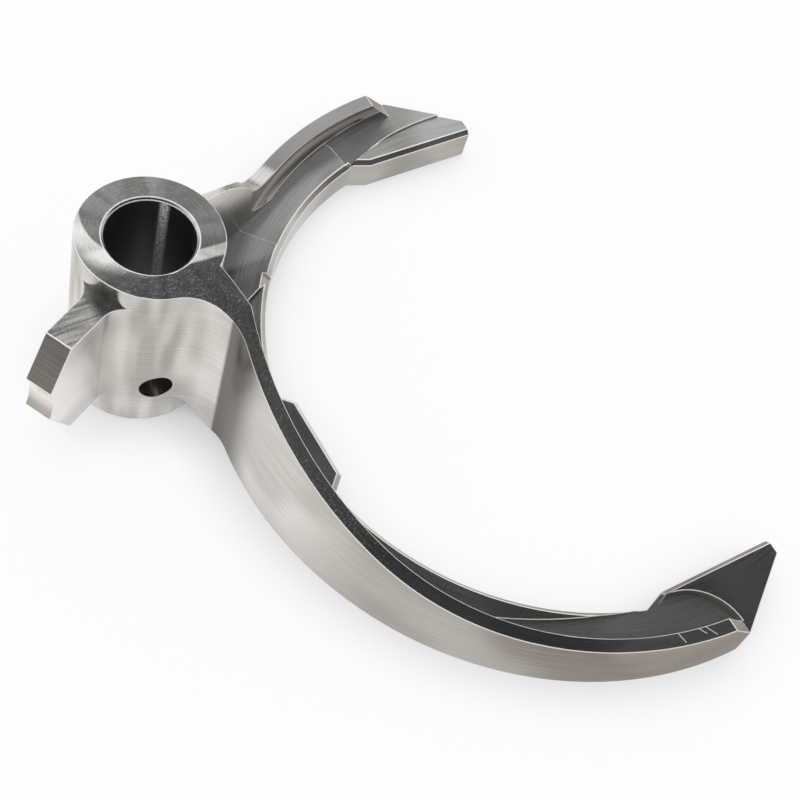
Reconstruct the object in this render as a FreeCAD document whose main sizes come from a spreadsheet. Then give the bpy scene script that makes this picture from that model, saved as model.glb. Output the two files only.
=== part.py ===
"""Transmission shift fork: one machined steel piece.

A hub with a bore for the shift rail, a selector lug on the hub, and a crescent fork whose two
tips and back carry pads for the groove of the sliding sleeve. The bore axis is the Z axis and
the underside lies at Z = 0. X points to the mouth of the fork and Y runs across it.
"""

import FreeCAD, Part
import math
import os
import Sketcher

# name, value in millimetres or degrees, what it is
SIZES = (
    ("bore_diameter", 16.0, "bore for the shift rail"),
    ("bore_chamfer", 0.45, "lead-in chamfer at both ends of the bore"),
    ("hub_diameter", 26.0, "outside of the hub"),
    ("hub_height", 38.2, "hub from the underside to its top face"),
    ("fork_reach", 75.05, "centre of the fork from the bore axis, along X"),
    ("fork_offset", 32.13, "centre of the fork from the bore axis, towards -Y"),
    ("throat_radius", 57.4, "clearance arc round the sleeve"),
    ("tip_pad_rise", 3.65, "faces of the two tip pads inside the clearance arc"),
    ("pad_height", 7.25, "thickness of the fork at the pads"),
    ("pad_front", 12.9, "front end of the back arm's pad, past the fork centre"),
    ("front_pad_end", 13.6, "front end of the front arm's pad, past the fork centre"),
    ("pad_back", 11.8, "back end of the tip pads, behind the fork centre"),
    ("ramp_length", 3.9, "ramp from a tip pad down to the clearance arc"),
    ("web_step", 0.9, "web below the pads"),
    ("front_width", 10.3, "front arm from the clearance arc to its outer wall"),
    ("wall_back", 1.25, "centre of the outer wall behind the fork centre"),
    ("wall_side", 0.2, "centre of the outer wall beside the fork centre"),
    ("rib_width", 2.7, "rib along the outer wall, front arm"),
    ("back_inset", 6.3, "inner wall of the back rib outside the clearance arc"),
    ("back_rib_width", 3.1, "rib along the outer wall, back arm"),
    ("back_rib_shift", 2.4, "centre of both walls of the back rib behind the fork centre"),
    ("rib_height", 12.7, "rib where it runs level"),
    ("rib_slope", 21.1, "slope of the front rib's rise to the hub"),
    ("rib_sweep", 90.0, "hollow at the foot of that rise"),
    ("rib_level", 6.1, "that rise starts this far behind the front of the outer wall"),
    ("crown_radius", 30.0, "rounding where that rise meets the hub top"),
    ("gusset_radius", 15.5, "hollow at the foot of the back rib's rise to the hub"),
    ("gusset_reach", 47.0, "foot of that rise from the bore axis"),
    ("gusset_crown", 28.0, "crown at the top of that rise"),
    ("gusset_direction", 40.0, "direction of the back arm about the bore"),
    ("gusset_spread", 110.0, "sector of that direction that holds the back arm"),
    ("gusset_height", 29.5, "top of the back rib at the hub"),
    ("rib_end", 7.0, "end of the rib's level top behind the fork centre"),
    ("rib_end_slope", 5.5, "length of the rib's sloping end"),
    ("root_front", 10.0, "fillet from the hub to the outer wall, front arm"),
    ("root_back", 25.0, "fillet from the hub to the outer wall, back arm"),
    ("root_inside", 18.7, "fillet from the hub to the back rib's inner wall"),
    ("tip_width", 3.25, "outer corner of a tip outside the face of its pad"),
    ("lead_in", 0.95, "chamfer along the upper edge of the clearance arc and the pads"),
    ("mid_pad_rise", 3.5, "face of the middle pad inside the clearance arc"),
    ("mid_pad_width", 17.2, "width of the middle pad's face"),
    ("mid_pad_foot", 22.0, "width of the middle pad at its foot"),
    ("ledge_rise", 1.45, "ledge beside the rib of the back arm, above the pads"),
    ("web_width", 5.9, "web from the clearance arc to the edge of that ledge"),
    ("ledge_turn", 126.0, "direction where the ledge leaves its arc for the hub"),
    ("ledge_root", 34.0, "where the ledge meets the hub, about the bore"),
    ("ledge_round", 4.0, "fillet between the ledge and the back rib"),
    ("neck_top", -50.0, "inner side of the front rib at the hub, about the bore"),
    ("neck_foot", 167.3, "where that side joins the rib, about the outer wall's centre"),
    ("neck_round", 3.0, "fillet between that side and the hub"),
    ("crest_rise", 0.55, "back tip above the face of its pad"),
    ("crest_radius", 58.6, "edge of that face, a round step"),
    ("crest_start", 16.5, "where that step begins, behind the fork centre"),
    ("crest_end", 9.0, "where that step ends, past the fork centre"),
    ("crest_inside", 1.05, "inner end of that step outside the face of the pad"),
    ("crest_outside", 6.25, "outer end of that step outside the face of the pad"),
    ("plateau_start", 133.6, "direction of the raised plateau's back end"),
    ("plateau_end", 141.3, "direction of the raised plateau's front end, at the clearance arc"),
    ("plateau_far", 154.0, "direction of that end beside the rib"),
    ("relief_step", 1.05, "relief beside the front rib, below the web"),
    ("relief_start", 212.0, "where the relief leaves the rib, about the fork centre"),
    ("relief_end", 252.0, "where the relief reaches the clearance arc"),
    ("relief_radius", 83.0, "edge of the relief between those two"),
    ("pad_end_round", 10.5, "round end of the front pad"),
    ("pad_end_side", 1.05, "where that round end begins, outside the face of the pad"),
    ("slope_length", 11.4, "slope from the back tip down to the web"),
    ("lug_angle", -152.5, "direction of the selector lug about the bore"),
    ("lug_thickness", 5.3, "selector lug across its sides"),
    ("lug_reach", 29.3, "end of the lug from the bore axis"),
    ("lug_top", 33.7, "level top of the lug"),
    ("lug_land", 24.3, "end of that level top from the bore axis"),
    ("lug_heel", 23.5, "where the lug's underside turns up, from the bore axis"),
    ("lug_shoulder", 25.7, "foot of the sloping face at the lug's end"),
    ("lug_lip", 17.9, "lower lip of the lug's end"),
    ("lug_base", 8.6, "underside of the lug"),
    ("lug_root", 4.7, "fillets between the lug's sides and the hub"),
    ("notch_depth", 0.9, "groove across the lug's end"),
    ("collar_height", 7.2, "relief under the front root, at the hub"),
    ("collar_reach", 19.6, "foot of that relief from the bore axis"),
    ("collar_start", -104.0, "direction where that relief starts about the bore"),
    ("collar_end", -66.0, "direction where it ends"),
    ("pin_diameter", 6.1, "cross hole for the roll pin"),
    ("pin_height", 10.4, "cross hole above the underside"),
    ("pin_angle", 257.5, "direction of the cross hole about the bore"),
)

doc = FreeCAD.newDocument("shift_fork")
sheet = doc.addObject("Spreadsheet::Sheet", "sizes")
size = {}
for row, (name, value, meaning) in enumerate(SIZES, start=1):
    sheet.set(f"A{row}", name)
    sheet.set(f"B{row}", str(value))
    sheet.set(f"C{row}", meaning)
    sheet.setAlias(f"B{row}", name)
    size[name] = value
doc.recompute()

body = doc.addObject("PartDesign::Body", "shift_fork")
body.Label = "shift_fork"
V = FreeCAD.Vector
UP = V(0, 0, 1)

fork = V(size["fork_reach"], -size["fork_offset"], 0)
wall = V(fork.x - size["wall_back"], fork.y - size["wall_side"], 0)
hub_radius = size["hub_diameter"] / 2
throat = size["throat_radius"]
wall_radius = throat + size["front_width"]
rib_inside = wall_radius - size["rib_width"]
back_rib = V(fork.x - size["back_rib_shift"], fork.y, 0)
back_inside = throat + size["back_inset"]
back_outside = back_inside + size["back_rib_width"]
ledge_radius = throat + size["web_width"]
pad_face = throat - size["tip_pad_rise"]
web_height = size["pad_height"] - size["web_step"]
ledge_height = size["pad_height"] + size["ledge_rise"]
shoulder_x = fork.x - size["rib_end"] + size["rib_end_slope"]
CLEAR = 20.0  # how far a cut reaches past the piece
CHAMFER_TILT = 45.0  # every chamfer takes as much off both faces
SAME = 1e-3  # lengths this close count as equal
OVERLAP = 3.0  # how far an added piece reaches into the crescent
FORK_X = "sizes.fork_reach"
FORK_Y = "-sizes.fork_offset"
WALL_X = "sizes.fork_reach - sizes.wall_back"
WALL_Y = "-sizes.fork_offset - sizes.wall_side"
WALL_R = "sizes.throat_radius + sizes.front_width"
RIB_NAMES = (WALL_X, WALL_Y, f"{WALL_R} - sizes.rib_width")
BACK_RIB_X = "sizes.fork_reach - sizes.back_rib_shift"
BACK_RIB_R = "sizes.throat_radius + sizes.back_inset"
WEB_Z = "sizes.pad_height - sizes.web_step"
LEDGE_Z = "sizes.pad_height + sizes.ledge_rise"
LEDGE_NAMES = (FORK_X, FORK_Y, "sizes.throat_radius + sizes.web_width")


def plane(role):
    """One of the body's own origin planes."""
    return next(f for f in body.Origin.OriginFeatures if f.Role == role)


def new_sketch(name, role="XY_Plane"):
    """An empty sketch on one of the body's origin planes."""
    sketch = body.newObject("Sketcher::SketchObject", name)
    sketch.AttachmentSupport = [(plane(role), "")]
    sketch.MapMode = "FlatFace"
    return sketch


def polar(centre, radius, degrees):
    """The point at a distance and direction from a centre."""
    angle = math.radians(degrees)
    return V(centre.x + radius * math.cos(angle), centre.y + radius * math.sin(angle), 0)


def heading(centre, point):
    """The direction from a centre to a point, in degrees from 0 to 360."""
    return math.degrees(math.atan2(point.y - centre.y, point.x - centre.x)) % 360


def circle_point(centre, radius, x=None, y=None, sign=1):
    """The point of a circle at a given x or y; sign picks one of the two."""
    if x is not None:
        return V(x, centre.y + sign * math.sqrt(radius ** 2 - (x - centre.x) ** 2), 0)
    return V(centre.x + sign * math.sqrt(radius ** 2 - (y - centre.y) ** 2), y, 0)


def meet(c1, r1, c2, r2, left=True):
    """Where two circles meet: the point to the left or right of the way from c1 to c2."""
    way = c2.sub(c1)
    gap = way.Length
    along = (r1 ** 2 - r2 ** 2 + gap ** 2) / (2 * gap)
    side = math.sqrt(r1 ** 2 - along ** 2)
    way.normalize()
    across = V(-way.y, way.x, 0).multiply(side if left else -side)
    return c1.add(way.multiply(along)).add(across)


def cross(start, end, centre, degrees):
    """Where the line through two points crosses the ray from a centre in a direction."""
    across = polar(V(0, 0, 0), 1, degrees + 90)
    way = end.sub(start)
    return start.add(way.multiply(across.dot(centre.sub(start)) / across.dot(end.sub(start))))


def line(start, end):
    """A straight stretch of an outline."""
    return {"geometry": Part.LineSegment(start, end)}


def arc(centre, radius, start, end, names=None):
    """A round stretch, anticlockwise from one point to the other, with its named sizes."""
    first = math.radians(heading(centre, start))
    last = math.radians(heading(centre, end))
    if last <= first:
        last += 2 * math.pi
    circle = Part.Circle(centre, UP, radius)
    return {"geometry": Part.ArcOfCircle(circle, first, last), "names": names, "ends": (start, end)}


def distance(sketch, geometry, point, x, y):
    """Tie a point of the sketch to x and y, both given as text of named sizes."""
    for kind, text in (("DistanceX", x), ("DistanceY", y)):
        here = sketch.getPoint(geometry, point)
        value = here.x if kind == "DistanceX" else here.y
        index = sketch.addConstraint(Sketcher.Constraint(kind, -1, 1, geometry, point, value))
        sketch.setExpression(f"Constraints[{index}]", text)


def outline(sketch, pieces):
    """Add a closed outline and tie its arcs to their named centre and radius."""
    ends = []
    for piece in pieces:
        index = sketch.addGeometry(piece["geometry"], False)
        ends.append((index, sketch.getPoint(index, 1), sketch.getPoint(index, 2)))
        if piece.get("names"):
            x, y, radius = piece["names"]
            distance(sketch, index, 3, x, y)
            value = piece["geometry"].Radius
            tie = sketch.addConstraint(Sketcher.Constraint("Radius", index, value))
            sketch.setExpression(f"Constraints[{tie}]", radius)
    for number, (index, first, last) in enumerate(ends):
        other, other_first, other_last = ends[(number + 1) % len(ends)]
        pairs = [(1, first, 1, other_first), (1, first, 2, other_last),
                 (2, last, 1, other_first), (2, last, 2, other_last)]
        here, _, there, _ = min(pairs, key=lambda pair: pair[1].sub(pair[3]).Length)
        sketch.addConstraint(Sketcher.Constraint("Coincident", index, here, other, there))


def circle_sketch(name, radius, radius_text, x="0 mm", y="0 mm", centre=V(0, 0, 0), role="XY_Plane"):
    """A sketch with one circle, tied to its named centre and radius."""
    sketch = new_sketch(name, role)
    index = sketch.addGeometry(Part.Circle(centre, UP, radius), False)
    distance(sketch, index, 3, x, y)
    tie = sketch.addConstraint(Sketcher.Constraint("Radius", index, radius))
    sketch.setExpression(f"Constraints[{tie}]", radius_text)
    return sketch


def volume():
    """The body's volume so far."""
    doc.recompute()
    return body.Shape.Volume


def pad(name, sketch, length, both_ways=False):
    """Add the sketch's outline, as long as the text of named sizes says."""
    feature = body.newObject("PartDesign::Pad", name)
    feature.Profile = sketch
    feature.setExpression("Length", length)
    if both_ways:
        feature.SideType = "Symmetric"
    before = volume_before[0]
    after = volume()
    if after <= before:
        raise RuntimeError(f"{name} adds nothing")
    volume_before[0] = after
    return feature


def cut(feature, name):
    """Check that a cutting feature takes something away."""
    after = volume()
    if not 0 < after < volume_before[0]:
        raise RuntimeError(f"{name} cuts nothing: {feature.getStatusString()}")
    volume_before[0] = after
    return feature


def pocket_down_to(name, sketch, floor):
    """Cut the outline away from above, down to a named height."""
    sketch.setExpression(".AttachmentOffset.Base.z", floor)
    feature = body.newObject("PartDesign::Pocket", name)
    feature.Profile = sketch
    feature.Type = "ThroughAll"
    feature.Reversed = True
    return cut(feature, name)


volume_before = [0.0]


def edges(shape, test):
    """Names of the edges that pass a test."""
    return [f"Edge{number}" for number, edge in enumerate(shape.Edges, start=1) if test(edge)]


def is_upright(edge, place, reach=1.0):
    """An edge along Z that stands within reach of a place in plan."""
    if edge.Length < 1.0:
        return False
    first, last = edge.Vertexes[0].Point, edge.Vertexes[-1].Point
    if math.hypot(first.x - last.x, first.y - last.y) > SAME:
        return False
    return math.hypot(first.x - place.x, first.y - place.y) < reach


def round_edges(name, radius, test):
    """Fillet the edges that pass a test."""
    names = edges(body.Shape, test)
    if not names:
        raise RuntimeError(f"{name} finds no edge")
    base = body.Tip
    feature = body.newObject("PartDesign::Fillet", name)
    feature.Base = (base, names)
    feature.setExpression("Radius", radius)
    volume_before[0] = volume()
    if "Invalid" in feature.State:
        raise RuntimeError(f"{name}: {feature.getStatusString()}")
    return feature


def root(radius, middle, outside, left):
    """Centre of a root fillet and its two ends, on the hub and on a wall round that middle."""
    centre = meet(V(0, 0, 0), hub_radius + radius, middle, outside + radius, left)
    on_hub = polar(V(0, 0, 0), hub_radius, heading(V(0, 0, 0), centre))
    on_wall = polar(middle, outside, heading(middle, centre))
    return centre, on_hub, on_wall


def add_blank():
    """The blank seen from above: hub, root fillets and crescent, open to the mouth."""
    back_out = circle_point(back_rib, back_outside, x=shoulder_x, sign=1)
    front_out = circle_point(wall, wall_radius, x=shoulder_x, sign=-1)
    back_in = circle_point(fork, throat, x=shoulder_x, sign=1)
    front_in = circle_point(fork, throat, x=shoulder_x, sign=-1)
    back_centre, back_hub, back_wall = root(size["root_back"], back_rib, back_outside, True)
    front_centre, front_hub, front_wall = root(size["root_front"], wall, wall_radius, False)
    back_names = (BACK_RIB_X, FORK_Y, f"{BACK_RIB_R} + sizes.back_rib_width")
    sketch = new_sketch("blank_outline")
    outline(sketch, [
        arc(back_rib, back_outside, back_out, back_wall, back_names),
        arc(back_centre, size["root_back"], back_hub, back_wall),
        arc(V(0, 0, 0), hub_radius, back_hub, front_hub, ("0 mm", "0 mm", "sizes.hub_diameter / 2")),
        arc(front_centre, size["root_front"], front_wall, front_hub),
        arc(wall, wall_radius, front_wall, front_out, (WALL_X, WALL_Y, WALL_R)),
        line(front_out, front_in),
        arc(fork, throat, back_in, front_in, (FORK_X, FORK_Y, "sizes.throat_radius")),
        line(back_in, back_out),
    ])
    pad("blank", sketch, "sizes.hub_height")


def add_tips():
    """The two tips, each with its pad and the ramp from it down to the clearance arc."""
    back = fork.x - size["pad_back"]
    front_corner = circle_point(wall, wall_radius, x=shoulder_x, sign=-1)
    back_corner = circle_point(back_rib, back_outside, x=shoulder_x, sign=1)
    tips = (
        ("front", -1, size["front_pad_end"], front_corner, "sizes.pad_height"),
        ("back", 1, size["pad_front"], back_corner, "sizes.pad_height + sizes.crest_rise"),
    )
    for name, side, reach, outer_corner, height in tips:
        front = fork.x + reach
        ramp = circle_point(fork, throat, x=back - size["ramp_length"], sign=side)
        inland = polar(fork, ledge_radius + OVERLAP / 2, heading(fork, ramp))
        sketch = new_sketch(f"{name}_tip_outline")
        polygon(sketch, [
            V(back, fork.y + side * pad_face, 0),
            V(front, fork.y + side * pad_face, 0),
            V(front, fork.y + side * (pad_face + size["tip_width"]), 0),
            outer_corner,
            inland,
            ramp,
        ])
        pad(f"{name}_tip", sketch, height)


def crest():
    """The round step between the back pad's face and the slope: its centre and two ends."""
    start = V(fork.x - size["crest_start"], fork.y + pad_face + size["crest_inside"], 0)
    end = V(fork.x + size["crest_end"], fork.y + pad_face + size["crest_outside"], 0)
    return meet(start, size["crest_radius"], end, size["crest_radius"], False), start, end


def face_back_pad():
    """Mill the back pad's face, which leaves a round step towards the rib."""
    centre, start, end = crest()
    far = V(fork.x + size["pad_front"] + CLEAR, fork.y, 0)
    sketch = new_sketch("back_face_outline")
    outline(sketch, [
        arc(centre, size["crest_radius"], end, start),
        line(start, V(start.x, far.y, 0)),
        line(V(start.x, far.y, 0), far),
        line(far, V(far.x, end.y + CLEAR, 0)),
        line(V(far.x, end.y + CLEAR, 0), V(end.x, end.y + CLEAR, 0)),
        line(V(end.x, end.y + CLEAR, 0), end),
    ])
    pocket_down_to("back_face", sketch, "sizes.pad_height")


def slope_back_tip():
    """Mill the slope between the web and the back tip, inside the ledge."""
    rise = math.atan2(size["crest_rise"] + size["web_step"], size["slope_length"])
    out_start = circle_point(fork, ledge_radius, x=shoulder_x, sign=1)
    out_end = polar(fork, ledge_radius, tip_turn)
    centre, in_end, _ = crest()
    in_start = circle_point(centre, size["crest_radius"], x=shoulder_x, sign=1)
    spot = V(fork.x, fork.y, web_height)
    mill_to("back_slope", spot, tip_turn, -math.degrees(rise), [
        arc(fork, ledge_radius, out_start, out_end, LEDGE_NAMES),
        line(out_end, in_end),
        arc(centre, size["crest_radius"], in_start, in_end),
        line(in_start, out_start),
    ])


def add_middle_pad():
    """The pad in the middle of the crescent, with two slanted flanks."""
    foot = size["mid_pad_foot"] / 2
    width = size["mid_pad_width"] / 2
    face_x = fork.x - throat + size["mid_pad_rise"]
    foot_back = circle_point(fork, throat, y=fork.y + foot, sign=-1)
    foot_front = circle_point(fork, throat, y=fork.y - foot, sign=-1)
    sketch = new_sketch("middle_pad_outline")
    polygon(sketch, [
        V(face_x, fork.y + width, 0),
        foot_back,
        V(foot_back.x - OVERLAP, foot_back.y, 0),
        V(foot_front.x - OVERLAP, foot_front.y, 0),
        foot_front,
        V(face_x, fork.y - width, 0),
    ])
    pad("middle_pad", sketch, "sizes.pad_height")


def mill_to(name, spot, turn, tilt, pieces):
    """Cut an outline from above down to a plane through a spot that tilts about a direction."""
    floor = body.newObject("PartDesign::Plane", f"{name}_floor")
    floor.AttachmentSupport = [(plane("XY_Plane"), "")]
    floor.MapMode = "FlatFace"
    way = FreeCAD.Rotation(UP, turn).multiply(FreeCAD.Rotation(V(1, 0, 0), tilt))
    floor.AttachmentOffset = FreeCAD.Placement(spot, way)
    sketch = new_sketch(f"{name}_outline")
    sketch.setExpression(".AttachmentOffset.Base.z", "sizes.hub_height")
    outline(sketch, pieces)
    pocket = body.newObject("PartDesign::Pocket", name)
    pocket.Profile = sketch
    pocket.Type = "UpToFace"
    pocket.UpToFace = (floor, [""])
    cut(pocket, name)


def bevel_ramp():
    """Chamfer the upper edge of the back pad's ramp."""
    depth = size["lead_in"]
    foot = circle_point(fork, throat, x=ramp_x)
    corner = V(fork.x - size["pad_back"], fork.y + pad_face, 0)
    turn = heading(foot, corner)
    inward = polar(V(0, 0, 0), depth, turn + 90)
    spot = V(foot.x, foot.y, size["pad_height"] - depth)
    corners = [foot.sub(inward), corner.sub(inward), corner.add(inward), foot.add(inward)]
    mill_to("ramp_lead_in", spot, turn, CHAMFER_TILT, straight(corners))


def break_pads():
    """Chamfer the upper edges of the pads' faces and of the middle pad's flanks."""
    front = fork.x + size["pad_front"]

    def is_inner(edge):
        if edge.BoundBox.ZLength > SAME or abs(edge.BoundBox.ZMin - size["pad_height"]) > SAME:
            return False
        middle = edge.valueAt((edge.FirstParameter + edge.LastParameter) / 2)
        reach = math.hypot(middle.x - fork.x, middle.y - fork.y)
        long = edge.Length > 2 * size["lead_in"]
        on_ramp = ramp_x < middle.x < fork.x - size["pad_back"]
        return long and not on_ramp and reach < throat - SAME and middle.x < front - SAME

    base = body.Tip
    names = edges(base.Shape, is_inner)
    chamfer = body.newObject("PartDesign::Chamfer", "pad_lead_in")
    chamfer.Base = (base, names)
    chamfer.setExpression("Size", "sizes.lead_in")
    cut(chamfer, "pad_lead_in")


def add_lug():
    """The selector lug: a plate on the hub with a sloping end and a groove across it."""
    side = new_sketch("lug_outline", "XZ_Plane")
    turn = FreeCAD.Rotation(V(0, 1, 0), size["lug_angle"])
    side.AttachmentOffset = FreeCAD.Placement(V(0, 0, 0), turn)
    reach = size["lug_reach"]
    lip = V(reach, size["lug_lip"], 0)
    shoulder = V(reach, size["lug_shoulder"], 0)
    half = (shoulder.y - lip.y) / 2
    groove_radius = (half ** 2 + size["notch_depth"] ** 2) / (2 * size["notch_depth"])
    groove = V(reach - size["notch_depth"] + groove_radius, lip.y + half, 0)
    heel = V(size["lug_heel"], size["lug_base"], 0)
    inside = hub_radius / 2
    outline(side, [
        line(V(inside, size["lug_base"], 0), heel),
        line(heel, lip),
        arc(groove, groove_radius, shoulder, lip),
        line(shoulder, V(size["lug_land"], size["lug_top"], 0)),
        line(V(size["lug_land"], size["lug_top"], 0), V(inside, size["lug_top"], 0)),
        line(V(inside, size["lug_top"], 0), V(inside, size["lug_base"], 0)),
    ])
    pad("lug", side, "sizes.lug_thickness", both_ways=True)
    turned = math.degrees(math.asin(size["lug_thickness"] / 2 / hub_radius))
    angles = (size["lug_angle"] - turned, size["lug_angle"] + turned)
    corners = [polar(V(0, 0, 0), hub_radius, angle) for angle in angles]
    round_edges("lug_root", "sizes.lug_root", lambda edge: any(is_upright(edge, spot) for spot in corners))


def relieve_collar():
    """Turn the relief under the front root, which leaves the hub's foot as a round collar."""
    start, end = size["collar_start"], size["collar_end"]
    sketch = new_sketch("collar_side", "XZ_Plane")
    turn = FreeCAD.Rotation(V(0, 1, 0), (start + end) / 2)
    sketch.AttachmentOffset = FreeCAD.Placement(V(0, 0, 0), turn)
    polygon(sketch, [
        V(hub_radius, 0, 0),
        V(size["collar_reach"], 0, 0),
        V(hub_radius, size["collar_height"], 0),
    ])
    revolve_cut("collar", sketch, end - start)


def clear_inside():
    """Mill the inside of the rib down to the ledge."""
    centre, on_hub, on_wall = root(size["root_inside"], back_rib, back_inside, True)
    mouth_back = circle_point(back_rib, back_inside, x=fork.x, sign=1)
    mouth_front = circle_point(wall, rib_inside, x=fork.x, sign=-1)
    sketch = new_sketch("inside_outline")
    outline(sketch, [
        arc(back_rib, back_inside, mouth_back, on_wall, (BACK_RIB_X, FORK_Y, BACK_RIB_R)),
        arc(centre, size["root_inside"], on_hub, on_wall),
        arc(V(0, 0, 0), hub_radius, neck_top, on_hub, ("0 mm", "0 mm", "sizes.hub_diameter / 2")),
        line(neck_top, neck_foot),
        arc(wall, rib_inside, neck_foot, mouth_front, RIB_NAMES),
        line(mouth_front, mouth_back),
    ])
    pocket_down_to("inside", sketch, LEDGE_Z)

    def at_ledge(edge):
        level = abs(edge.BoundBox.ZMin - ledge_height) < SAME and edge.BoundBox.ZLength < SAME
        curved = hasattr(edge.Curve, "Radius") and abs(edge.Curve.Radius - back_inside) < SAME
        return level and curved

    round_edges("ledge_round", "sizes.ledge_round", at_ledge)


def sweep_front_rib():
    """Cut the front rib's top, a straight rise between a hollow and a crown, and round its neck."""
    level = size["rib_height"]
    slope = math.radians(size["rib_slope"])
    top_z = size["hub_height"]
    start = V(wall.y - wall_radius + size["rib_level"], level, 0)
    hollow = start.add(V(0, size["rib_sweep"], 0))
    foot = hollow.add(V(math.sin(slope), -math.cos(slope), 0).multiply(size["rib_sweep"]))
    rounding = size["crown_radius"] * math.tan(slope / 2)
    top = V(foot.x + (top_z - foot.y) / math.tan(slope) + rounding, top_z, 0)
    crown = top.sub(V(0, size["crown_radius"], 0))
    joint = crown.add(V(-math.sin(slope), math.cos(slope), 0).multiply(size["crown_radius"]))
    high = top_z + CLEAR
    far = start.x - CLEAR
    sketch = new_sketch("front_rib_side", "YZ_Plane")
    outline(sketch, [
        line(V(far, level, 0), start),
        arc(hollow, size["rib_sweep"], start, foot),
        line(foot, joint),
        arc(crown, size["crown_radius"], top, joint),
        line(top, V(top.x, high, 0)),
        line(V(top.x, high, 0), V(far, high, 0)),
        line(V(far, high, 0), V(far, level, 0)),
    ])
    through("front_rib_top", sketch)
    round_edges("neck_round", "sizes.neck_round", lambda edge: is_upright(edge, neck_top))


def sweep_back_rib():
    """Turn the back rib's top about the bore: level, then an S-shaped rise up the hub."""
    level = size["rib_height"]
    radius = size["gusset_radius"]
    crown = size["gusset_crown"]
    hollow = V(size["gusset_reach"], level + radius, 0)
    crown_z = size["gusset_height"] - crown
    reach = radius + crown
    bulge = V(hollow.x - math.sqrt(reach ** 2 - (hollow.y - crown_z) ** 2), crown_z, 0)
    joint = hollow.add(bulge.sub(hollow).multiply(radius / reach))
    top = circle_point(bulge, crown, x=hub_radius, sign=1)
    foot = V(hollow.x, level, 0)
    high = size["hub_height"] + CLEAR
    far = fork.x + wall_radius
    sketch = new_sketch("back_rib_side", "XZ_Plane")
    turn = FreeCAD.Rotation(V(0, 1, 0), size["gusset_direction"])
    sketch.AttachmentOffset = FreeCAD.Placement(V(0, 0, 0), turn)
    outline(sketch, [
        arc(bulge, crown, joint, top),
        arc(hollow, radius, joint, foot),
        line(foot, V(far, level, 0)),
        line(V(far, level, 0), V(far, high, 0)),
        line(V(far, high, 0), V(top.x, high, 0)),
        line(V(top.x, high, 0), top),
    ])
    revolve_cut("back_rib_top", sketch, size["gusset_spread"])


def revolve_cut(name, sketch, spread):
    """Cut an outline turned about its sketch's upright axis, half of the spread to each side."""
    groove = body.newObject("PartDesign::Groove", name)
    groove.Profile = sketch
    groove.ReferenceAxis = (sketch, ["V_Axis"])
    groove.Midplane = True
    groove.Angle = spread
    return cut(groove, name)


def through(name, sketch):
    """Cut an outline through the whole piece, both ways from its plane."""
    feature = body.newObject("PartDesign::Pocket", name)
    feature.Profile = sketch
    feature.Type = "ThroughAll"
    feature.SideType = "Symmetric"
    return cut(feature, name)


def straight(corners):
    """The straight stretches round a closed row of corners."""
    return [line(a, b) for a, b in zip(corners, corners[1:] + corners[:1])]


def polygon(sketch, corners):
    """A closed outline of straight stretches."""
    outline(sketch, straight(corners))


def end_ribs():
    """Slope the ribs' ends down to the height of the tips."""
    start = fork.x - size["rib_end"]
    far = shoulder_x + CLEAR
    high = size["hub_height"] + CLEAR
    sketch = new_sketch("rib_end_side", "XZ_Plane")
    polygon(sketch, [
        V(start, size["rib_height"], 0),
        V(shoulder_x, size["pad_height"], 0),
        V(far, size["pad_height"], 0),
        V(far, high, 0),
        V(start, high, 0),
    ])
    through("rib_ends", sketch)


def lower_inside():
    """Mill the lower level inside the ledge, the plateau beside the hub included."""
    turn_point = polar(fork, ledge_radius, size["ledge_turn"])
    on_hub = polar(V(0, 0, 0), hub_radius, size["ledge_root"])
    back_end = circle_point(fork, ledge_radius, x=shoulder_x, sign=1)
    front_end = circle_point(wall, rib_inside, x=shoulder_x, sign=-1)
    sketch = new_sketch("lower_outline")
    outline(sketch, [
        arc(fork, ledge_radius, back_end, turn_point, LEDGE_NAMES),
        line(turn_point, on_hub),
        arc(V(0, 0, 0), hub_radius, neck_top, on_hub),
        line(neck_top, neck_foot),
        arc(wall, rib_inside, neck_foot, front_end),
        line(front_end, back_end),
    ])
    pocket_down_to("lower", sketch, "sizes.pad_height")


def web_floors():
    """Mill the two web floors and the relief beside the front rib."""
    far = throat - CLEAR
    turn_point = polar(fork, ledge_radius, size["ledge_turn"])
    outer_turn = polar(fork, ledge_radius, tip_turn)
    on_hub = polar(V(0, 0, 0), hub_radius, size["ledge_root"])
    start = size["plateau_start"]
    edge = cross(turn_point, on_hub, fork, start)
    sketch = new_sketch("back_floor_outline")
    outline(sketch, [
        arc(fork, ledge_radius, outer_turn, turn_point),
        line(turn_point, edge),
        line(edge, polar(fork, far, start)),
        line(polar(fork, far, start), polar(fork, far, tip_turn)),
        line(polar(fork, far, tip_turn), outer_turn),
    ])
    pocket_down_to("back_floor", sketch, WEB_Z)
    end = size["plateau_end"]
    rib = polar(wall, rib_inside, size["plateau_far"])
    mouth = polar(wall, rib_inside, 360 - tip_turn)
    sketch = new_sketch("front_floor_outline")
    outline(sketch, [
        arc(wall, rib_inside, rib, mouth, RIB_NAMES),
        line(mouth, polar(fork, far, 360 - tip_turn)),
        line(polar(fork, far, 360 - tip_turn), polar(fork, far, end)),
        line(polar(fork, far, end), polar(fork, throat, end)),
        line(polar(fork, throat, end), rib),
    ])
    pocket_down_to("front_floor", sketch, WEB_Z)


def lead_in(name, floor, start, end):
    """Chamfer the clearance arc under a floor of that height, from one direction to the other."""
    depth = size["lead_in"]
    inner = throat - depth
    outer = throat + 2 * depth
    sketch = new_sketch(f"{name}_side", "XZ_Plane")
    turn = FreeCAD.Rotation(V(0, 1, 0), (start + end) / 2)
    sketch.AttachmentOffset = FreeCAD.Placement(V(fork.x, 0, -fork.y), turn)
    polygon(sketch, [
        V(inner, floor - 2 * depth, 0),
        V(outer, floor + depth, 0),
        V(inner, floor + depth, 0),
    ])
    revolve_cut(name, sketch, end - start)


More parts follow.
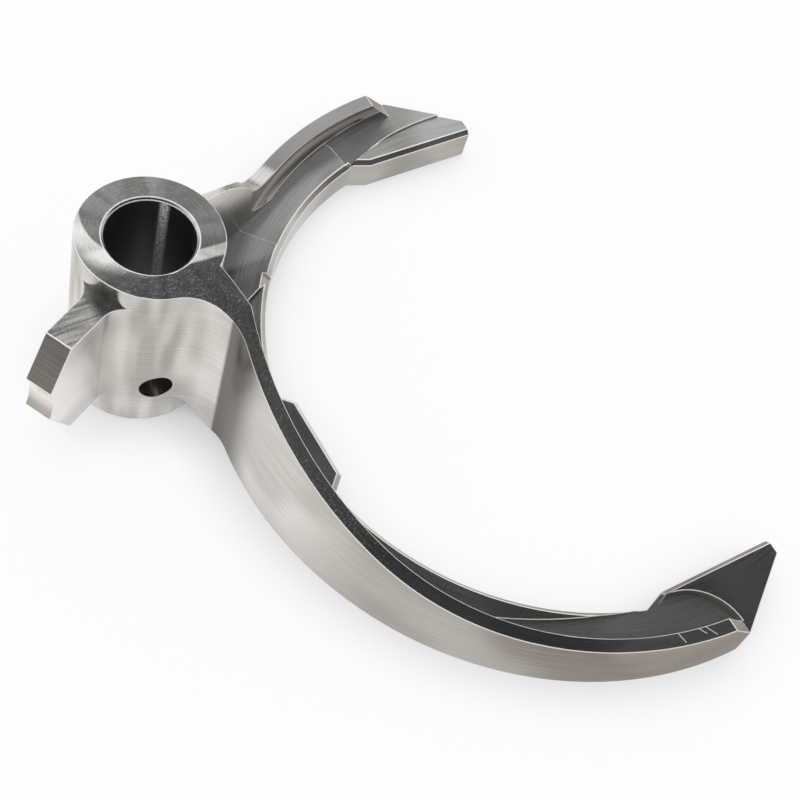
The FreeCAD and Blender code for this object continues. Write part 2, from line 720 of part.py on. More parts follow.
def relieve_front():
    """Mill the relief beside the front rib, which leaves the front pad with a round end."""
    top = V(fork.x - size["pad_back"], fork.y - pad_face - size["pad_end_side"], 0)
    crest = top.sub(V(0, size["pad_end_round"], 0))
    start = polar(fork, rib_inside, size["relief_start"])
    start = polar(wall, rib_inside, heading(wall, start))
    end = polar(fork, throat, size["relief_end"])
    centre = meet(start, size["relief_radius"], end, size["relief_radius"], True)
    rib_end = meet(wall, rib_inside, crest, size["pad_end_round"], True)
    mouth = V(top.x, top.y + CLEAR, 0)
    sketch = new_sketch("relief_outline")
    outline(sketch, [
        arc(wall, rib_inside, start, rib_end, RIB_NAMES),
        arc(crest, size["pad_end_round"], rib_end, top),
        line(top, mouth),
        line(mouth, V(end.x, mouth.y, 0)),
        line(V(end.x, mouth.y, 0), end),
        arc(centre, size["relief_radius"], start, end),
    ])
    pocket_down_to("relief", sketch, f"{WEB_Z} - sizes.relief_step")


def bore_hub():
    """The bore with a chamfer at both ends, and the cross hole for the pin."""
    sketch = circle_sketch("bore_outline", size["bore_diameter"] / 2, "sizes.bore_diameter / 2")
    through("bore", sketch)
    radius = size["bore_diameter"] / 2

    def is_rim(edge):
        flat = abs(edge.BoundBox.ZLength) < SAME
        return flat and hasattr(edge.Curve, "Radius") and abs(edge.Curve.Radius - radius) < SAME

    base = body.Tip
    rims = edges(base.Shape, is_rim)
    chamfer = body.newObject("PartDesign::Chamfer", "bore_lead_in")
    chamfer.Base = (base, rims)
    chamfer.setExpression("Size", "sizes.bore_chamfer")
    cut(chamfer, "bore_lead_in")
    sketch = circle_sketch("pin_outline", size["pin_diameter"] / 2, "sizes.pin_diameter / 2",
                           y="sizes.pin_height", centre=V(0, size["pin_height"], 0), role="YZ_Plane")
    turn = FreeCAD.Rotation(V(0, 1, 0), size["pin_angle"])
    sketch.AttachmentOffset = FreeCAD.Placement(V(0, 0, 0), turn)
    through("pin_hole", sketch)


ramp_x = fork.x - size["pad_back"] - size["ramp_length"]
tip_turn = heading(fork, circle_point(fork, throat, x=ramp_x))
neck_top = polar(V(0, 0, 0), hub_radius, size["neck_top"])
neck_foot = polar(wall, rib_inside, size["neck_foot"])

add_blank()
clear_inside()
sweep_front_rib()
sweep_back_rib()
end_ribs()
lower_inside()
web_floors()
lead_in("back_lead_in", web_height, tip_turn, size["plateau_start"])
lead_in("plateau_lead_in", size["pad_height"], size["plateau_start"], size["plateau_end"])
lead_in("front_lead_in", web_height, size["plateau_end"], size["relief_end"])
add_tips()
slope_back_tip()
face_back_pad()
relieve_front()
add_middle_pad()
break_pads()
bevel_ramp()
add_lug()
relieve_collar()
bore_hub()

doc.recompute()
for item in doc.Objects:
    if "Invalid" in item.State or "Error" in item.State:
        raise RuntimeError(f"{item.Name} failed: {item.getStatusString()}")
if body.Shape.isNull() or not body.Shape.isValid() or len(body.Shape.Solids) != 1:
    raise RuntimeError("the fork is not one valid solid")
os.makedirs("parts", exist_ok=True)
body.Shape.exportStep("parts/shift_fork.step")
print("volume", body.Shape.Volume, "faces", len(body.Shape.Faces), body.Shape.BoundBox)
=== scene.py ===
"""Transmission shift fork: its machined finish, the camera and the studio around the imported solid.

All lengths are in metres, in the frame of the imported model: the origin is on the axis of the rail
bore at the underside, X runs towards the mouth of the fork and Z runs up the bore. The front arm
lies towards -Y and the back arm towards +Y.
"""

import logging
import math
from dataclasses import dataclass, field
from enum import Enum, IntEnum
from typing import Union

import bmesh
import bpy
from mathutils import Matrix, Vector


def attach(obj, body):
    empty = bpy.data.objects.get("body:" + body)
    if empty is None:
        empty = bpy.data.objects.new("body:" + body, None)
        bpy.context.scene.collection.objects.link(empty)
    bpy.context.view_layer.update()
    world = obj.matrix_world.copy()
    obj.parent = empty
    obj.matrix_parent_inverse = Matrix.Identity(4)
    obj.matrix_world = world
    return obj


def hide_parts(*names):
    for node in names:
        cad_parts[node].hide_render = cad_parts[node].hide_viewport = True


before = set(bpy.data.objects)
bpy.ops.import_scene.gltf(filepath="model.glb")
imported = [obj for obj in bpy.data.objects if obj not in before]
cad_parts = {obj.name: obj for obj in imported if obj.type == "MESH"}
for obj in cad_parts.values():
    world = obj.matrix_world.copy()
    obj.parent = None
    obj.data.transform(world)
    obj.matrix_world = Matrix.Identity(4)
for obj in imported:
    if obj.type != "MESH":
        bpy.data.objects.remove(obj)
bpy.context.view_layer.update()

MM = 0.001
NODE = "shift_fork"
BODY = "root"
WHITE = (1.0, 1.0, 1.0)

Socket = bpy.types.NodeSocket
Value = Union[bpy.types.NodeSocket, float]
Tone = tuple[float, float, float]

log = logging.getLogger("shift_fork_scene")


class ToolPath(Enum):
    """The way in which the cutter's marks run over a face."""

    ALONG_ARM = "arcs about the centre of the fork"
    ALONG_WALL = "level lines round an upright wall"
    ROUND_BORE = "turned rings about the bore"


class MaterialPlace(IntEnum):
    """Places of the finishes in the mesh's list of materials."""

    STEEL = 0
    EDGES = 1
    BORE = 2


@dataclass(frozen=True)
class Ramp:
    """A smooth change along some measure.

    The value is low + (high - low) x (3 t squared - 2 t cubed), where t is the share of the way
    from start to end, held between 0 and 1.

    Attributes:
        start: Where the change starts.
        end: Where it ends, which may be lower than the start.
        low: The value before it.
        high: The value after it.
    """

    start: float
    end: float
    low: float = 0.0
    high: float = 1.0


@dataclass(frozen=True)
class SteelFinish:
    """The look of one machined finish.

    Attributes:
        name: Name of the material.
        light: Colour of the steel between the cutter's lines, and of painted highlights.
        dull: Colour of the steel in the lines and soft bands, and of painted shade.
        roughness: Mean roughness of the surface.
        streaks: How far the cutter's lines change the roughness.
        relief: Strength of the lines' bump.
        metal: How metallic it is where no mark or grain scatters the light and no highlight is painted.
    """

    name: str
    light: Tone
    dull: Tone
    roughness: float
    streaks: float
    relief: float
    metal: float = 1.0


BRUSHED = SteelFinish("brushed_steel", (0.93, 0.92, 0.90), (0.42, 0.40, 0.375), 0.23, 0.12, 0.07)
# Filed edge strips, painted near white and less metallic, so that they show as a highlight from any side.
DEBURRED_GLINT = SteelFinish("deburred_edge_glint", (0.97, 0.965, 0.955), (0.90, 0.89, 0.875), 0.30, 0.05, 0.03, 0.25)
# The bore: a dark colour of painted shade, and a light one for its painted highlight streak.
BORE_PAINTED_SHADE_AND_STREAK = SteelFinish("honed_bore_painted", (0.95, 0.94, 0.92), (0.24, 0.235, 0.23), 0.34, 0.10, 0.10)
# Painted shade: a dark colour for the dark reflection at the front root and the shade on the back rib.
PAINTED_SHADE = (0.20, 0.19, 0.18)


class NodeBuilder:
    """Short calls for the nodes of one material.

    Attributes:
        NUMBER_INPUTS: Places of the share and the two numbers on a Mix node.
        COLOUR_INPUTS: Places of the share and the two colours on it.
        COLOUR_OUTPUT: Place of the mixed colour on it.
    """

    NUMBER_INPUTS = (0, 2, 3)
    COLOUR_INPUTS = (0, 6, 7)
    COLOUR_OUTPUT = 2

    def __init__(self, name: str) -> None:
        """Starts an empty material.

        Args:
            name: The material's name.
        """
        self.material = bpy.data.materials.new(name)
        self.material.use_nodes = True
        self.tree = self.material.node_tree
        self.tree.nodes.clear()

    @classmethod
    def on(cls, tree: bpy.types.NodeTree) -> "NodeBuilder":
        """A builder on a tree that is there already, such as the world's.

        Args:
            tree: The tree, which is emptied.

        Returns:
            The builder.
        """
        builder = cls.__new__(cls)
        builder.material = None
        builder.tree = tree
        tree.nodes.clear()
        return builder

    def add(self, kind: str, **settings: object) -> bpy.types.Node:
        """Adds a node and sets its properties.

        Args:
            kind: Blender's name of the node type.
            settings: Properties of the node.

        Returns:
            The new node.
        """
        node = self.tree.nodes.new(kind)
        for key, value in settings.items():
            setattr(node, key, value)
        return node

    def feed(self, target: Socket, source: object) -> None:
        """Links a socket to the target, or sets the target to a plain value.

        Args:
            target: The input to feed.
            source: A socket, a number or a colour.
        """
        if isinstance(source, bpy.types.NodeSocket):
            self.tree.links.new(source, target)
        else:
            target.default_value = source

    def math(self, operation: str, *values: Value, clamp: bool = False) -> Socket:
        """One Math node on sockets or numbers.

        Args:
            operation: Name of the operation.
            values: Sockets or numbers, in order.
            clamp: Whether the result stays between 0 and 1.

        Returns:
            The result's socket.
        """
        node = self.add("ShaderNodeMath", operation=operation, use_clamp=clamp)
        for socket, value in zip(node.inputs, values):
            self.feed(socket, value)
        return node.outputs[0]

    def times(self, first: Value, *others: Value) -> Value:
        """The product of several sockets or numbers.

        Args:
            first: The first of them.
            others: The others, in order.

        Returns:
            The product.
        """
        for other in others:
            first = self.math("MULTIPLY", first, other)
        return first

    def most(self, first: Value, *others: Value) -> Value:
        """The largest of several sockets or numbers.

        Args:
            first: The first of them.
            others: The others, in order.

        Returns:
            The largest.
        """
        for other in others:
            first = self.math("MAXIMUM", first, other)
        return first

    def distance(self, x: Socket, y: Socket) -> Socket:
        """The root of x squared + y squared."""
        return self.math("SQRT", self.math("ADD", self.times(x, x), self.times(y, y)))

    def join(self, *parts: Value) -> Socket:
        """Joins up to three values to a vector.

        Args:
            parts: Sockets or numbers, in order.

        Returns:
            The vector's socket.
        """
        node = self.add("ShaderNodeCombineXYZ")
        for socket, part in zip(node.inputs, parts):
            self.feed(socket, part)
        return node.outputs[0]

    def noise(self, vector: Socket, scale: float, detail: float) -> Socket:
        """A noise over a vector.

        Args:
            vector: Where the noise is read.
            scale: Its scale.
            detail: Its number of finer layers.

        Returns:
            The noise's value.
        """
        node = self.add("ShaderNodeTexNoise")
        self.feed(node.inputs["Vector"], vector)
        node.inputs["Scale"].default_value = scale
        node.inputs["Detail"].default_value = detail
        return node.outputs["Fac"]

    def spread(self, value: Socket, low: float, high: float) -> Socket:
        """Maps 0..1 evenly to low..high.

        Args:
            value: A socket that runs from 0 to 1.
            low: The result at 0.
            high: The result at 1.

        Returns:
            The mapped value's socket.
        """
        node = self.add("ShaderNodeMapRange")
        self.feed(node.inputs["Value"], value)
        node.inputs["To Min"].default_value = low
        node.inputs["To Max"].default_value = high
        return node.outputs["Result"]

    def ramp(self, value: Socket, ramp: Ramp) -> Socket:
        """The value of a ramp.

        Args:
            value: The measure that the ramp runs along.
            ramp: The ramp.

        Returns:
            The value's socket.
        """
        node = self.add("ShaderNodeMapRange", interpolation_type="SMOOTHSTEP")
        numbers = {"From Min": ramp.start, "From Max": ramp.end, "To Min": ramp.low, "To Max": ramp.high}
        for name, number in numbers.items():
            node.inputs[name].default_value = number
        self.feed(node.inputs["Value"], value)
        return node.outputs["Result"]

    def mix(self, share: Socket, low: Value, high: Value) -> Socket:
        """Mixes two values by a share between 0 and 1.

        Args:
            share: The share of the second value.
            low: The value at 0.
            high: The value at 1.

        Returns:
            The mixed value's socket.
        """
        node = self.add("ShaderNodeMix", data_type="FLOAT")
        for place, part in zip(self.NUMBER_INPUTS, (share, low, high)):
            self.feed(node.inputs[place], part)
        return node.outputs[0]

    def blend(self, share: Socket, low: Union[Socket, Tone], high: Union[Socket, Tone]) -> Socket:
        """Mixes two colours by a share between 0 and 1.

        Args:
            share: The share of the second colour.
            low: The colour at 0, as three numbers or a socket.
            high: The colour at 1, likewise.

        Returns:
            The mixed colour's socket.
        """
        node = self.add("ShaderNodeMix", data_type="RGBA")
        for place, part in zip(self.COLOUR_INPUTS, (share, low, high)):
            self.feed(node.inputs[place], (*part, 1.0) if isinstance(part, tuple) else part)
        return node.outputs[self.COLOUR_OUTPUT]

    def surface(self, shader: Socket) -> None:
        """Gives the material its surface."""
        self.feed(self.add("ShaderNodeOutputMaterial").inputs["Surface"], shader)


@dataclass(frozen=True)
class Spot:
    """Where a point of the part lies, as sockets of one material.

    Attributes:
        point: The three coordinates as a vector.
        x: Distance towards the mouth.
        y: Distance towards the back arm.
        z: Height above the underside.
        reach: Distance from the bore's axis.
        turn: Direction about the bore's axis, from X.
    """

    point: Socket
    x: Socket
    y: Socket
    z: Socket
    reach: Socket
    turn: Socket

    @classmethod
    def of(cls, nodes: NodeBuilder) -> "Spot":
        """The spot that a material is being worked out at.

        Args:
            nodes: The material's builder.

        Returns:
            Its sockets.
        """
        point = nodes.add("ShaderNodeTexCoord").outputs["Object"]
        parts = nodes.add("ShaderNodeSeparateXYZ")
        nodes.feed(parts.inputs[0], point)
        x, y, z = parts.outputs
        return cls(point, x, y, z, nodes.distance(x, y), nodes.math("ARCTAN2", y, x))


@dataclass(frozen=True)
class Facing:
    """Which way the surface faces, as sockets of one material.

    Attributes:
        x: The X part of the face's normal.
        y: Its Y part, below 0 where a top falls towards the front arm.
        level: 1 on level faces and 0 on walls.
    """

    x: Socket
    y: Socket
    level: Socket

    @classmethod
    def of(cls, nodes: NodeBuilder, level: Ramp) -> "Facing":
        """The way that the surface faces.

        Args:
            nodes: The material's builder.
            level: How the height part of the normal tells walls from level faces.

        Returns:
            Its sockets.
        """
        parts = nodes.add("ShaderNodeSeparateXYZ")
        nodes.feed(parts.inputs[0], nodes.add("ShaderNodeNewGeometry").outputs["Normal"])
        x, y, z = parts.outputs
        return cls(x, y, nodes.ramp(nodes.math("ABSOLUTE", z), level))


@dataclass(frozen=True)
class CutterLines:
    """Fine lines that the cutter and the belt left.

    Attributes:
        centre: Centre of the fork's arcs in plan.
        pitch: Width of one line.
        length: Length of one line, at the mean radius.
        mean_radius: Mean radius of the arms.
        detail: Number of finer layers of lines.
    """

    centre: tuple[float, float] = (75.05 * MM, -32.13 * MM)
    pitch: float = 0.21 * MM
    length: float = 16.0 * MM
    mean_radius: float = 60.0 * MM
    detail: float = 3.0

    def draw(self, nodes: NodeBuilder, spot: Spot, path: ToolPath) -> Socket:
        """Noise drawn out along the cutter's path.

        The noise is read at (angle x mean radius / length, distance / pitch), where the distance is
        the height on a wall and the radius elsewhere, so a line is one pitch wide across the path.

        Args:
            nodes: The material's builder.
            spot: The point's place.
            path: Which way the lines run.

        Returns:
            A value between 0 and 1.
        """
        x, y = spot.x, spot.y
        if path is not ToolPath.ROUND_BORE:
            x = nodes.math("SUBTRACT", x, self.centre[0])
            y = nodes.math("SUBTRACT", y, self.centre[1])
        turn = nodes.math("ARCTAN2", y, nodes.times(x, -1.0))
        across = spot.z if path is ToolPath.ALONG_WALL else nodes.distance(x, y)
        along = nodes.times(turn, self.mean_radius / self.length)
        place = nodes.join(along, nodes.math("DIVIDE", across, self.pitch))
        return nodes.noise(place, scale=1.0, detail=self.detail)


@dataclass(frozen=True)
class WallMarks:
    """Soft light and dark places on the upright walls, with painted shade and a painted reflection.

    Attributes:
        centre: Centre of the fork's arcs in plan.
        band_scale: How many soft bands there are to a radian.
        band_height: Height over which a band changes.
        root_start: Along Y, how sharply the painted shade at the front root starts.
        root_fade: Along Y, how it fades out along the arm.
        root_near: Along X, where it stops inside the mouth.
        rib_facing: Of the normal times the way to the fork's centre, what counts as facing it.
        rib_foot: Along Z, where the painted shade on the back rib starts above the ledge.
        rib_side: Along Y, where it starts on the back arm.
        rib_top: Along Z, how it thins out up the hub.
        hub_near: Of the distance from the bore, how much painted shade darkens the hub's upright wall.
        stripe_turn: Direction of the upright stripe of painted reflection beside the front root, in
            radians.
        stripe: Of the angle from that direction, where the painted shade comes back.
        foot: Along Z, how the hub's foot gets less painted shade.
    """

    centre: tuple[float, float] = CutterLines.centre
    band_scale: float = 3.2
    band_height: float = 60.0 * MM
    root_start: Ramp = Ramp(-19.0 * MM, -19.8 * MM)
    root_fade: Ramp = Ramp(-33.0 * MM, -24.0 * MM)
    root_near: Ramp = Ramp(16.0 * MM, 12.0 * MM)
    rib_facing: Ramp = Ramp(20.0 * MM, 36.0 * MM)
    rib_foot: Ramp = Ramp(8.0 * MM, 9.2 * MM)
    rib_side: Ramp = Ramp(2.0 * MM, 10.0 * MM)
    rib_top: Ramp = Ramp(27.0 * MM, 14.0 * MM, 0.0, 0.62)
    hub_near: Ramp = Ramp(17.0 * MM, 14.5 * MM, 0.0, 0.36)
    stripe_turn: float = -1.02
    stripe: Ramp = Ramp(0.13, 0.30, -0.6, 1.0)
    foot: Ramp = Ramp(4.0 * MM, 10.0 * MM, 0.2, 1.0)

    def bands(self, nodes: NodeBuilder, spot: Spot) -> Socket:
        """Soft random bands across the walls, lighter and darker.

        The noise is read at (direction about the bore, direction about the fork's centre,
        height / band height).

        Args:
            nodes: The material's builder.
            spot: The point's place.

        Returns:
            A value between 0 and 1.
        """
        to_x = nodes.math("SUBTRACT", self.centre[0], spot.x)
        from_y = nodes.math("SUBTRACT", spot.y, self.centre[1])
        away = nodes.math("ARCTAN2", from_y, to_x)
        place = nodes.join(spot.turn, away, nodes.math("DIVIDE", spot.z, self.band_height))
        return nodes.noise(place, scale=self.band_scale, detail=1.0)

    def clean(self, nodes: NodeBuilder, spot: Spot, facing: Facing) -> Socket:
        """How free the steel is of painted shade.

        The first is a band of painted shade, standing for a dark reflection, where the front root runs
        into the arm, sharp at the root. The second is shade painted on the inner wall of the back arm's
        rib, whose normal points at the centre of the fork: the normal's product with the way to the
        centre is large there.

        Args:
            nodes: The material's builder.
            spot: The point's place.
            facing: The way that the surface faces.

        Returns:
            1 on steel without painted shade, falling towards 0 where the shade is painted.
        """
        upright = nodes.math("SUBTRACT", 1.0, facing.level)
        ends = nodes.times(nodes.ramp(spot.y, self.root_start), nodes.ramp(spot.y, self.root_fade))
        root = nodes.times(ends, nodes.ramp(spot.x, self.root_near), upright)
        to_x = nodes.math("SUBTRACT", self.centre[0], spot.x)
        to_y = nodes.math("SUBTRACT", self.centre[1], spot.y)
        inward = nodes.math("ADD", nodes.times(to_x, facing.x), nodes.times(to_y, facing.y))
        low_end = nodes.times(nodes.ramp(inward, self.rib_facing), nodes.ramp(spot.z, self.rib_foot))
        rib = nodes.times(low_end, nodes.ramp(spot.y, self.rib_side), nodes.ramp(spot.z, self.rib_top))
        return nodes.math("SUBTRACT", 1.0, nodes.most(root, rib))

    def hub_painted_shade(self, nodes: NodeBuilder, spot: Spot, facing: Facing) -> Socket:
        """How much painted shade darkens the hub's upright wall against the arms'.

        The foot gets less of it. An upright stripe beside the front root gets a painted reflection
        instead, lighter than the rest of the wall.

        Args:
            nodes: The material's builder.
            spot: The point's place.
            facing: The way that the surface faces.

        Returns:
            The share of painted shade taken from the steel's shade, below 0 in the stripe.
        """
        off = nodes.math("ABSOLUTE", nodes.math("SUBTRACT", spot.turn, self.stripe_turn))
        upright = nodes.math("SUBTRACT", 1.0, facing.level)
        kept = nodes.times(upright, nodes.ramp(off, self.stripe), nodes.ramp(spot.z, self.foot))
        return nodes.times(nodes.ramp(spot.reach, self.hub_near), kept)


@dataclass(frozen=True)
class TopMarks:
    """Places on the level faces that look brighter: marks that scatter the light, and painted highlights.

    Attributes:
        hub_top: Along Z, where the hub's top starts.
        ring_rim: Of the distance from the bore, where the turned ring ends.
        mark_rim: Of the same, where the painted highlights end.
        rim_radius: Radius from which the wedge's slant is counted.
        wedge_slant: How far the wedge's direction turns on towards the bore, in radians a metre.
        wedge_start: Of the slanted direction, where the painted highlight wedge starts.
        wedge_end: Of the same, where it has faded out.
        wedge_flat: Of the normal's Y part, where the ring is level.
        strip_start: Of the same, where the painted highlight strip at the start of the fall begins.
        strip_end: Of the same, where it stops.
        strip_side: Along X, how the strip brightens towards the mouth.
        turned: Strength of the painted highlights, the wedge and the strip.
        stripe_size: Length and width of a stripe on the lug.
        stripes: Of the stripes' noise, their strength.
        lug_start: Along X, where the lug's top starts.
        lug_end: Along X, where its sloping end starts.
        web_height: Along Z, how bright the back arm's web is.
        web_side: Along Y, where that web starts.
        relief: Along Z, how bright the relief in front is.
        neck_height: Along Z, where the falling neck is.
        neck_fall: Of the normal's Y part, how bright the painted highlight on the neck is.
        scratch_width: Half of the width of a scratch.
        scratch_core: Share of that width at full strength.
        scratch_run: How far a scratch runs out past its ends, in millimetres.
        scratch_level: Strength of the scratches.
        scratch_ends: Both ends of each scratch on the front rib, in millimetres.
        grain: Size of the grains.
        grains: Of the grains' noise, where bare steel turns into a grain.
        grain_share: Along X, how much of the metallic look a grain takes away.
    """

    hub_top: Ramp = Ramp(30.0 * MM, 34.0 * MM)
    ring_rim: Ramp = Ramp(15.0 * MM, 13.4 * MM)
    mark_rim: Ramp = Ramp(13.6 * MM, 13.0 * MM)
    rim_radius: float = 13.0 * MM
    wedge_slant: float = 0.17 / MM
    wedge_start: Ramp = Ramp(2.28, 2.38, 0.0, 1.5)
    wedge_end: Ramp = Ramp(3.35, 2.6)
    wedge_flat: Ramp = Ramp(-0.02, -0.004)
    strip_start: Ramp = Ramp(-0.004, -0.02)
    strip_end: Ramp = Ramp(-0.095, -0.075)
    strip_side: Ramp = Ramp(-9.0 * MM, 6.0 * MM)
    turned: float = 0.75
    stripe_size: tuple[float, float] = (9.0 * MM, 0.8 * MM)
    stripes: Ramp = Ramp(0.35, 0.65, 0.10, 0.55)
    lug_start: Ramp = Ramp(-12.5 * MM, -15.0 * MM)
    lug_end: Ramp = Ramp(-26.0 * MM, -23.0 * MM)
    web_height: Ramp = Ramp(10.5 * MM, 9.5 * MM, 0.0, 0.22)
    web_side: Ramp = Ramp(7.0 * MM, 9.0 * MM)
    relief: Ramp = Ramp(6.1 * MM, 5.6 * MM, 0.0, 0.12)
    neck_height: Ramp = Ramp(18.0 * MM, 26.0 * MM)
    neck_fall: Ramp = Ramp(-0.02, -0.10, 0.0, 0.055)
    scratch_width: float = 0.14 * MM
    scratch_core: float = 0.4
    scratch_run: float = 0.2
    scratch_level: float = 0.6
    scratch_ends: tuple[tuple[tuple[float, float], tuple[float, float]], ...] = (
        ((57.5, -95.1), (57.9, -97.4)), ((62.7, -96.0), (64.1, -98.6)), ((61.6, -96.2), (62.4, -97.6)))
    grain: float = 0.3 * MM
    grains: Ramp = Ramp(0.5, 0.78)
    grain_share: Ramp = Ramp(4.0 * MM, 22.0 * MM, 0.25, 0.03)

    def ring(self, nodes: NodeBuilder, spot: Spot) -> Socket:
        """1 on the hub's turned top and 0 elsewhere."""
        return nodes.times(nodes.ramp(spot.z, self.hub_top), nodes.ramp(spot.reach, self.ring_rim))

    def painted_ring_highlights(self, nodes: NodeBuilder, spot: Spot, facing: Facing) -> Socket:
        """Painted highlights on the hub's top.

        One is a painted highlight wedge on the side away from the fork: the direction about the bore,
        counted from 0 to a full turn, less the slant x the distance in from the rim, lies between two
        values. The other is a painted highlight strip where the top starts to fall towards the front arm.

        Args:
            nodes: The material's builder.
            spot: The point's place.
            facing: The way that the surface faces.

        Returns:
            The highlights' strength.
        """
        opposite = nodes.math("ARCTAN2", nodes.times(spot.y, -1.0), nodes.times(spot.x, -1.0))
        turn = nodes.math("ADD", opposite, math.pi)
        slant = nodes.times(nodes.math("SUBTRACT", spot.reach, self.rim_radius), self.wedge_slant)
        swept = nodes.math("ADD", turn, slant)
        wedge = nodes.times(nodes.ramp(swept, self.wedge_start), nodes.ramp(swept, self.wedge_end))
        wedge = nodes.times(wedge, nodes.ramp(facing.y, self.wedge_flat))
        strip = nodes.times(nodes.ramp(facing.y, self.strip_start), nodes.ramp(facing.y, self.strip_end))
        strip = nodes.times(strip, nodes.ramp(spot.x, self.strip_side))
        on_top = nodes.times(nodes.ramp(spot.z, self.hub_top), nodes.ramp(spot.reach, self.mark_rim))
        return nodes.times(nodes.most(wedge, strip), on_top, self.turned)

    def lug_stripes(self, nodes: NodeBuilder, spot: Spot) -> Socket:
        """The stripes along the lug's top: a noise read at (x / length, y / width).

        Args:
            nodes: The material's builder.
            spot: The point's place.

        Returns:
            The stripes' strength.
        """
        length, width = self.stripe_size
        place = nodes.join(nodes.math("DIVIDE", spot.x, length), nodes.math("DIVIDE", spot.y, width))
        stripes = nodes.ramp(nodes.noise(place, scale=1.0, detail=2.0), self.stripes)
        return nodes.times(stripes, nodes.ramp(spot.x, self.lug_start), nodes.ramp(spot.x, self.lug_end))

    def scratches(self, nodes: NodeBuilder, spot: Spot) -> Value:
        """Short bright scratches on the front rib, near its end.

        A scratch is where the distance across its line is under its width and the distance along
        it lies between its ends.

        Args:
            nodes: The material's builder.
            spot: The point's place.

        Returns:
            The scratches' strength.
        """
        drawn = []
        for start, end in self.scratch_ends:
            way = Vector(end) - Vector(start)
            length = way.length
            way.normalize()
            off_x = nodes.math("SUBTRACT", spot.x, start[0] * MM)
            off_y = nodes.math("SUBTRACT", spot.y, start[1] * MM)
            along = nodes.math("ADD", nodes.times(off_x, way.x), nodes.times(off_y, way.y))
            across = nodes.math("SUBTRACT", nodes.times(off_x, way.y), nodes.times(off_y, way.x))
            core = Ramp(self.scratch_width, self.scratch_width * self.scratch_core)
            first = Ramp(-self.scratch_run * MM, 0.0)
            last = Ramp((length + self.scratch_run) * MM, length * MM)
            thin = nodes.ramp(nodes.math("ABSOLUTE", across), core)
            drawn.append(nodes.times(thin, nodes.ramp(along, first), nodes.ramp(along, last)))
        return nodes.times(nodes.most(*drawn), self.scratch_level)

    def dulled(self, nodes: NodeBuilder, spot: Spot, facing: Facing) -> Socket:
        """How much of the metallic look the marks, grains and painted highlights take away.

        Args:
            nodes: The material's builder.
            spot: The point's place.
            facing: The way that the surface faces.

        Returns:
            The share's socket.
        """
        web = nodes.times(nodes.ramp(spot.z, self.web_height), nodes.ramp(spot.y, self.web_side))
        relief = nodes.ramp(spot.z, self.relief)
        # Painted highlight on the faces of the neck that fall towards the front arm.
        neck = nodes.times(nodes.ramp(spot.z, self.neck_height), nodes.ramp(facing.y, self.neck_fall))
        # Painted highlights on the hub's top, with the stripes along the lug.
        turned = nodes.most(self.painted_ring_highlights(nodes, spot, facing), self.lug_stripes(nodes, spot))
        marks = nodes.most(turned, web, relief, self.scratches(nodes, spot), neck)
        grains = nodes.ramp(nodes.noise(spot.point, scale=1.0 / self.grain, detail=2.0), self.grains)
        grains = nodes.times(grains, facing.level, nodes.ramp(spot.x, self.grain_share))
        return nodes.math("ADD", grains, nodes.times(marks, facing.level))


